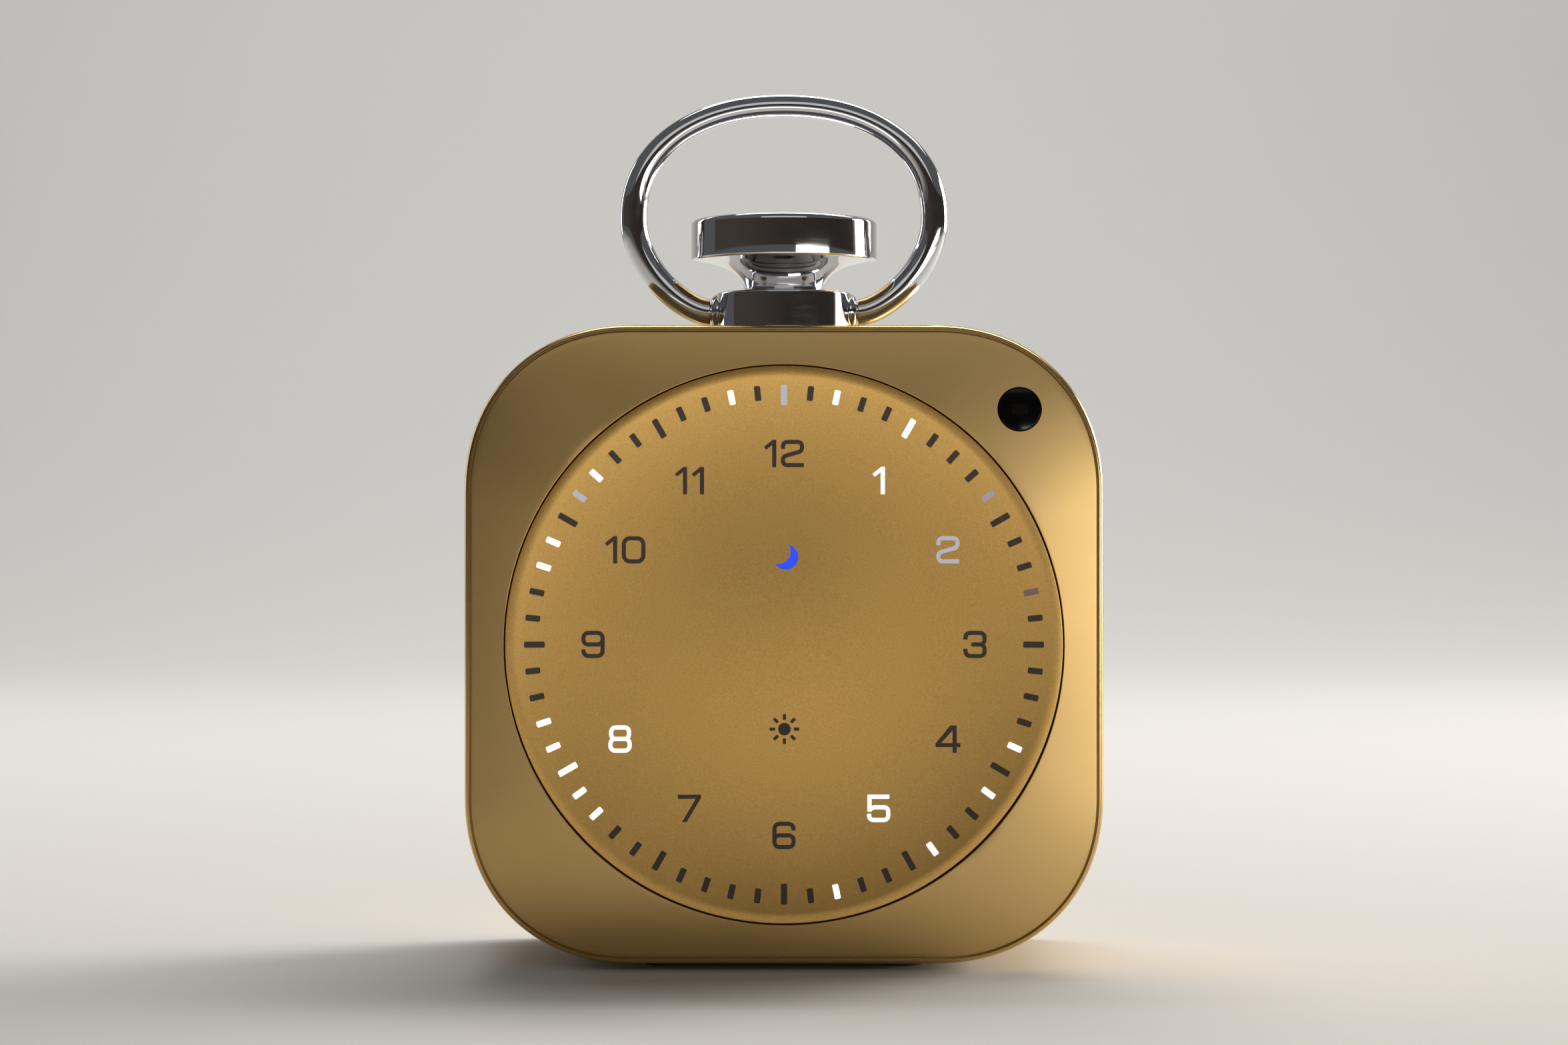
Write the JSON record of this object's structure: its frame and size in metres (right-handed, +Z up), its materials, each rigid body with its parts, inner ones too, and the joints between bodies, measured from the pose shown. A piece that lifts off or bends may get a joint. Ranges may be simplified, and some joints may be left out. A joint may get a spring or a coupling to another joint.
{
  "type": "digital alarm clock",
  "caption": "Small square metal alarm clock with a round dial of lit marks, a press crown on top and a swinging oval carrying bow.",
  "frame": {"origin": "on the table, under the middle of the clock (centre of the bounding box's bottom)", "axes": "+Z up, -Y the way the dial faces, +X to the right seen from the front; the bow's hinge lies along X and the crown's axis along Z"},
  "size_m": [0.076, 0.0332, 0.1062],
  "materials": {
    "case_metal": "fine bead-blasted and anodised champagne gold, satin",
    "dial_metal": "coarser bead-blasted and anodised gold",
    "chrome": "polished plating",
    "window": "smoked translucent moulding",
    "sensor_glass": "black gloss lens",
    "rubber": "matt",
    "white_plastic": "moulded",
    "black_plastic": "moulded, fine texture",
    "circuit_board": "solder-masked laminate",
    "steel": "bright zinc",
    "wrap": "printed film",
    "paper": "pressed paper",
    "acetal": "natural acetal"
  },
  "bodies": {
    "case": {"housing": "case_metal", "front_plate": "case_metal", "rear_cover": "case_metal", "foot_pad": "rubber", "dial_plate": "dial_metal", "light_guide": "window", "light_baffle": "white_plastic", "light_board": "circuit_board", "sensor_lens": "sensor_glass", "sensor_holder": "black_plastic", "sensor_board": "circuit_board", "sensor_ribbon": "wrap", "main_board": "circuit_board", "board_connector": "black_plastic", "inner_frame": "black_plastic", "battery": "wrap", "battery_lead": "rubber", "speaker_frame": "steel", "speaker_cone": "paper", "speaker_gasket": "rubber", "speaker_lead": "rubber", "charge_socket": "steel", "socket_board": "circuit_board", "rear_screw_1": "steel", "rear_screw_2": "steel", "rear_screw_3": "steel", "rear_screw_4": "steel", "frame_screw_1": "steel", "frame_screw_2": "steel", "frame_screw_3": "steel", "frame_screw_4": "steel", "collar": "chrome", "collar_washer": "steel", "collar_nut": "steel", "stem_bush": "acetal", "pivot_bush_left": "acetal", "pivot_bush_right": "acetal", "push_switch": "black_plastic", "switch_board": "circuit_board"},
    "crown": {"crown": "chrome", "crown_clip": "steel", "crown_spring": "steel", "switch_plunger": "acetal"},
    "bow": {"bow": "chrome"}
  },
  "joints": [
    {"name": "crown_press", "type": "slide", "parent": "case", "child": "crown", "axis": [0, 0, -1], "range_m": [0, 0.0012], "stiffness_N_per_m": 500, "springref_m": -0.003, "deforming": ["crown_spring"]},
    {"name": "bow_swing", "type": "hinge", "parent": "case", "child": "bow", "pos_m": [0, 0, 0.0793], "axis": [1, 0, 0], "range_deg": [-90, 90]}
  ]
}
